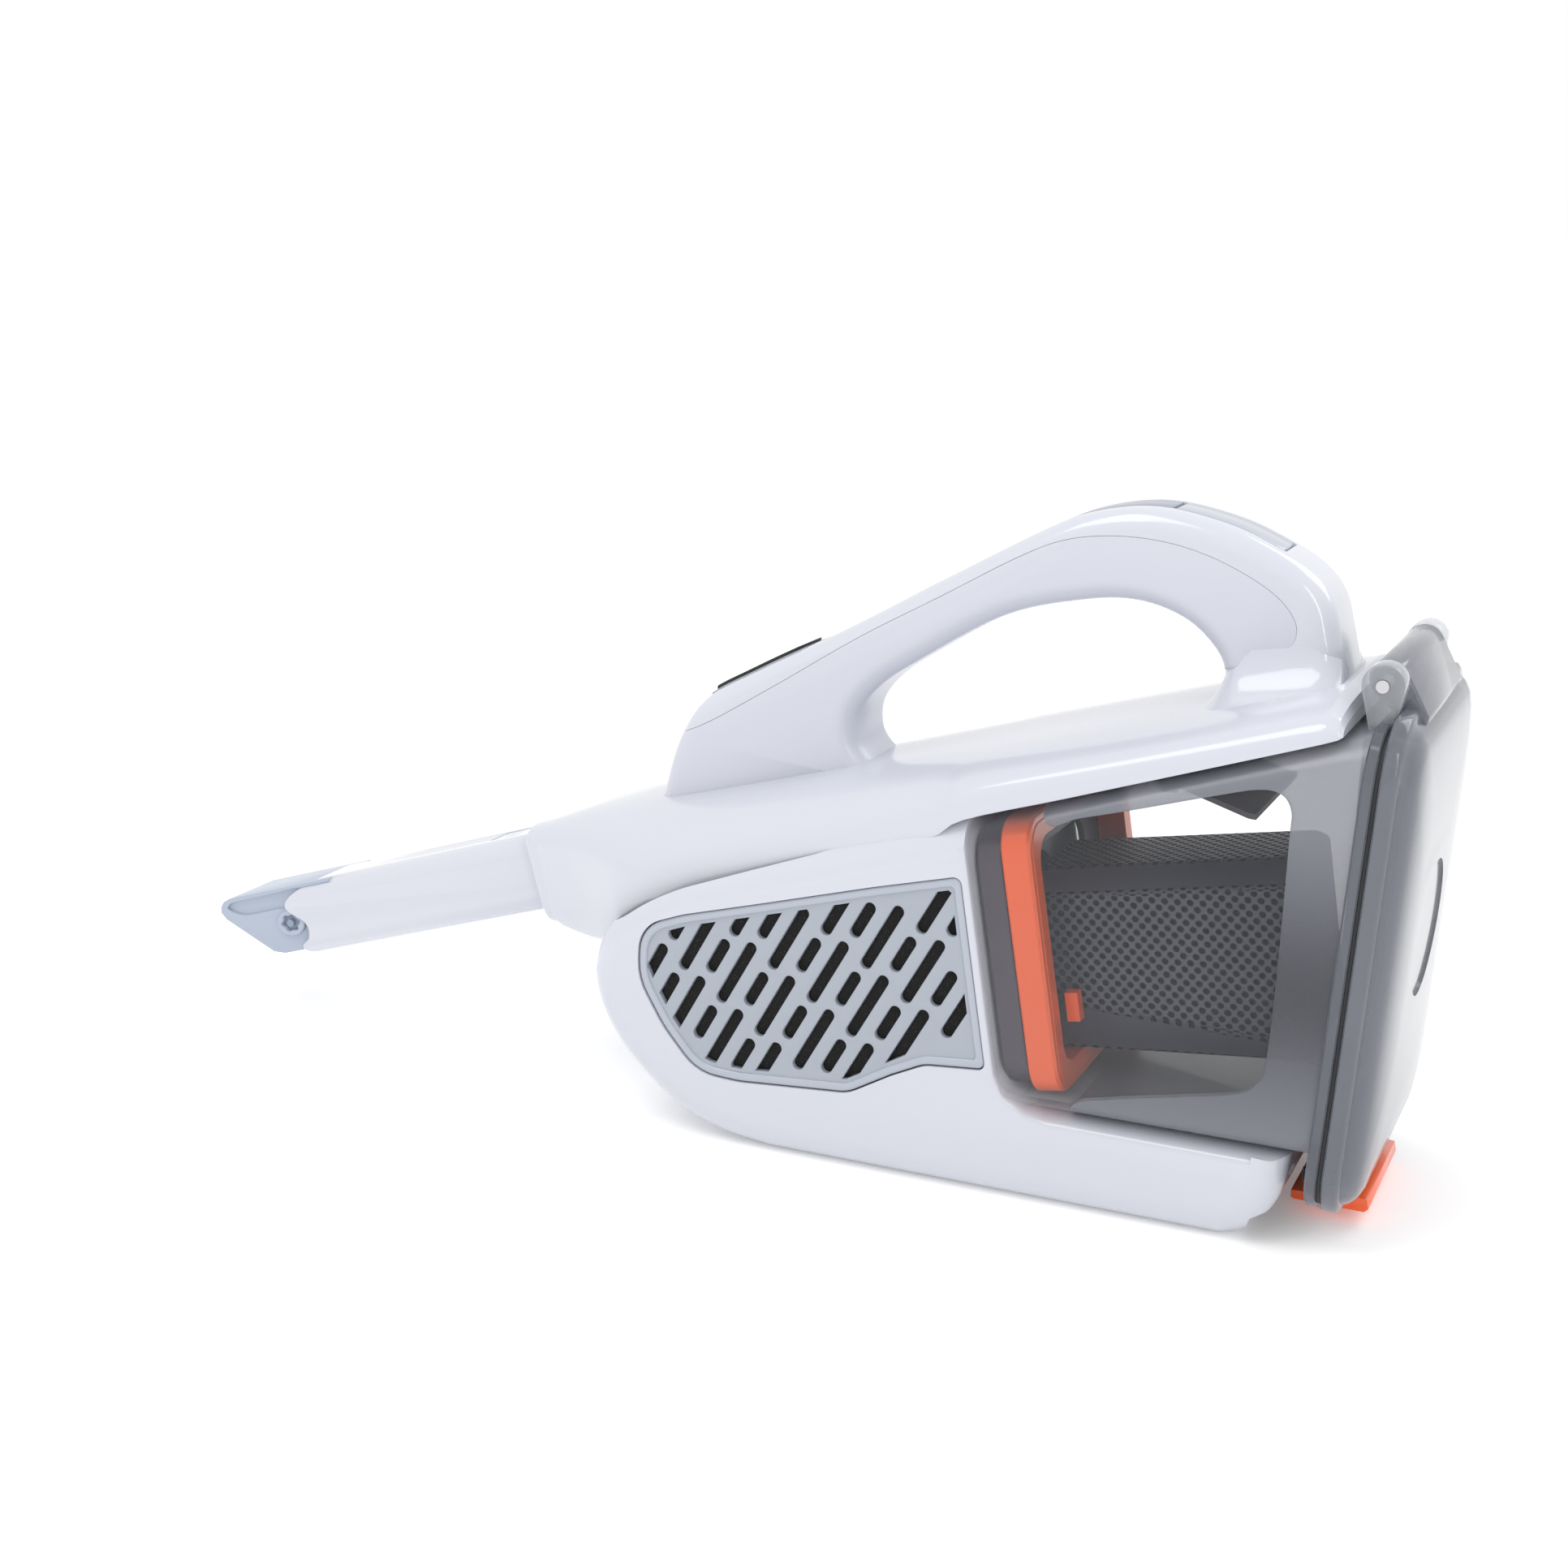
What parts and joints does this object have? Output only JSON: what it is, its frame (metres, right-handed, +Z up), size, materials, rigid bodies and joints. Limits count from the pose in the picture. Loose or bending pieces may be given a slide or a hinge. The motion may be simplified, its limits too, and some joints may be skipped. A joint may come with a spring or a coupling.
{
  "type": "handheld vacuum cleaner",
  "caption": "Cordless handheld vacuum with a loop handle, a pull-out crevice nozzle with a flip-up tip, side exhaust grilles, and a clear dust bin with a top-hinged latched door.",
  "frame": {"origin": "centre of the flat underside of the foot, on the centre plane", "axes": "+X towards the bin door and away from the nozzle, +Z up, +Y completes a right-handed set, so it points to the left of someone who looks along +X"},
  "size_m": [0.4999, 0.124, 0.23],
  "materials": {
    "white_shell": "glossy white moulded plastic",
    "white_grip": "satin white moulded plastic",
    "grey_trim": "satin grey moulded plastic",
    "blue_grey_tip": "satin blue-grey moulded plastic",
    "dark_window": "glossy black display window",
    "black_plastic": "black moulded plastic",
    "dark_plastic": "glossy dark purple-grey moulded plastic",
    "smoke_clear": "clear smoky moulded plastic",
    "door_clear": "clear moulded plastic",
    "orange_plastic": "glossy orange moulded plastic",
    "screen_grey": "dark grey perforated plastic",
    "filter_paper": "pleated filter paper",
    "foam": "open black foam",
    "seal_rubber": "soft black seal",
    "steel": "ground steel",
    "spring_steel": "spring steel wire",
    "copper_wire": "enamelled copper windings",
    "motor_grey": "grey motor case",
    "board_green": "green circuit board",
    "wire_red": "insulated wire",
    "cell_wrap": "shrink-wrapped battery cell",
    "nickel": "nickel strip"
  },
  "bodies": {
    "housing": {"upper_housing_left": "white_shell", "upper_housing_right": "white_shell", "lower_housing_left": "white_shell", "lower_housing_right": "white_shell", "handle_band_left": "white_shell", "handle_band_right": "white_shell", "handle_grip_left": "white_grip", "handle_grip_right": "white_grip", "handle_inlay": "grey_trim", "power_switch": "black_plastic", "button_spring": "spring_steel", "indicator_bezel": "grey_trim", "indicator_window": "dark_window", "indicator_board": "board_green", "vent_grille_left": "grey_trim", "vent_grille_right": "grey_trim", "exhaust_foam_left": "foam", "exhaust_foam_right": "foam", "fan_shroud": "black_plastic", "motor_can": "motor_grey", "motor_windings": "copper_wire", "motor_mount": "seal_rubber", "inlet_duct": "black_plastic", "neck_seal": "seal_rubber", "bin_seal": "seal_rubber", "control_board": "board_green", "motor_leads": "wire_red", "battery_cells": "cell_wrap", "cell_tray": "black_plastic", "cell_strips": "nickel", "foot_pads": "seal_rubber", "charging_socket": "black_plastic", "housing_screws": "steel"},
    "power_button": {"power_button": "grey_trim"},
    "crevice": {"crevice_sleeve": "white_shell", "tool_button_spring": "spring_steel", "tip_pin": "steel"},
    "release_button": {"tool_button": "white_shell"},
    "tip": {"nozzle_tip": "blue_grey_tip"},
    "bin": {"dust_bin": "smoke_clear", "bin_gasket": "seal_rubber", "door_hinge_pin": "steel", "latch_pin": "steel", "latch_spring": "spring_steel", "flap_pivots": "dark_plastic"},
    "door": {"bin_door": "door_clear"},
    "latch": {"door_latch": "orange_plastic"},
    "flap": {"inlet_flap": "dark_plastic"},
    "filter": {"filter_frame": "dark_plastic", "filter_ring": "orange_plastic", "prefilter_screen": "screen_grey", "pleated_filter": "filter_paper", "filter_tab": "orange_plastic"},
    "rotor": {"impeller": "black_plastic", "motor_shaft": "steel"}
  },
  "joints": [
    {"name": "crevice_slide", "type": "slide", "parent": "housing", "child": "crevice", "axis": [0.9563, 0, 0.2924], "range_m": [0, 0.085]},
    {"name": "release_press", "type": "slide", "parent": "crevice", "child": "release_button", "axis": [0.2924, 0, -0.9563], "range_m": [0, 0.0012], "stiffness_N_per_m": 600, "springref_m": -0.0005},
    {"name": "tip_flip", "type": "hinge", "parent": "crevice", "child": "tip", "pos_m": [-0.32071, 0, 0.04012], "axis": [0, 1, 0], "range_deg": [0, 45]},
    {"name": "power_press", "type": "slide", "parent": "housing", "child": "power_button", "axis": [-0.33, 0, -0.944], "range_m": [0, 0.0015], "stiffness_N_per_m": 600, "springref_m": -0.0005},
    {"name": "bin_slide", "type": "slide", "parent": "housing", "child": "bin", "axis": [1, 0, 0], "range_m": [0, 0.13]},
    {"name": "door_hinge", "type": "hinge", "parent": "bin", "child": "door", "pos_m": [0.1144, 0, 0.1842], "axis": [0, -1, 0], "range_deg": [0, 100]},
    {"name": "latch_pivot", "type": "hinge", "parent": "bin", "child": "latch", "pos_m": [0.105, 0, 0.008], "axis": [0, 1, 0], "range_deg": [0, 8], "stiffness_Nm_per_rad": 0.3, "springref_deg": -5.73},
    {"name": "flap_swing", "type": "hinge", "parent": "bin", "child": "flap", "pos_m": [0.0475, 0, 0.144], "axis": [0, 1, 0], "range_deg": [-34, 0]},
    {"name": "filter_slide", "type": "slide", "parent": "bin", "child": "filter", "axis": [0.9877, 0, 0.1564], "range_m": [0, 0.02]},
    {"name": "rotor_spin", "type": "hinge", "parent": "housing", "child": "rotor", "pos_m": [-0.00506, 0, 0.07557], "axis": [0.9877, 0, 0.1564], "continuous": true}
  ]
}
